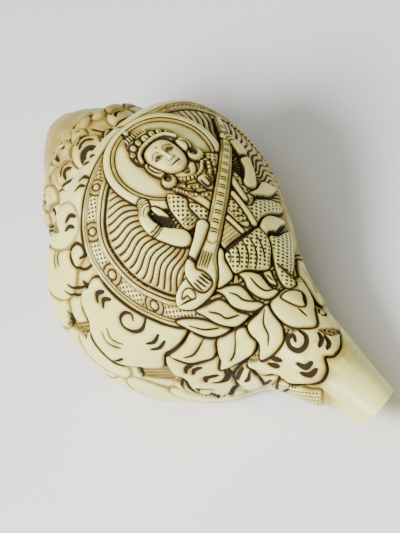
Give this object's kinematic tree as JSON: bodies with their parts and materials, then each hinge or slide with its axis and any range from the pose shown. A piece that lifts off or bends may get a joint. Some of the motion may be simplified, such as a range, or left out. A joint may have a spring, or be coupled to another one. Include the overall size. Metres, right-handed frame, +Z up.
{
  "type": "carved conch shell",
  "caption": "Carved chank conch with a sawn spout: a lute player in a round medallion on the body whorl, lotus petals and clouds around it.",
  "frame": {"origin": "middle of the bounding box at its lowest level, where the two flats meet the table", "axes": "+X towards the sawn spout, +Z up, with the shell lying on its mouth"},
  "size_m": [0.1604, 0.0911, 0.0766],
  "materials": {
    "shell": "polished shell, ivory, with dark brown in the cuts of the carving"
  },
  "bodies": {
    "root": {"conch_shell": "shell"}
  },
  "joints": []
}
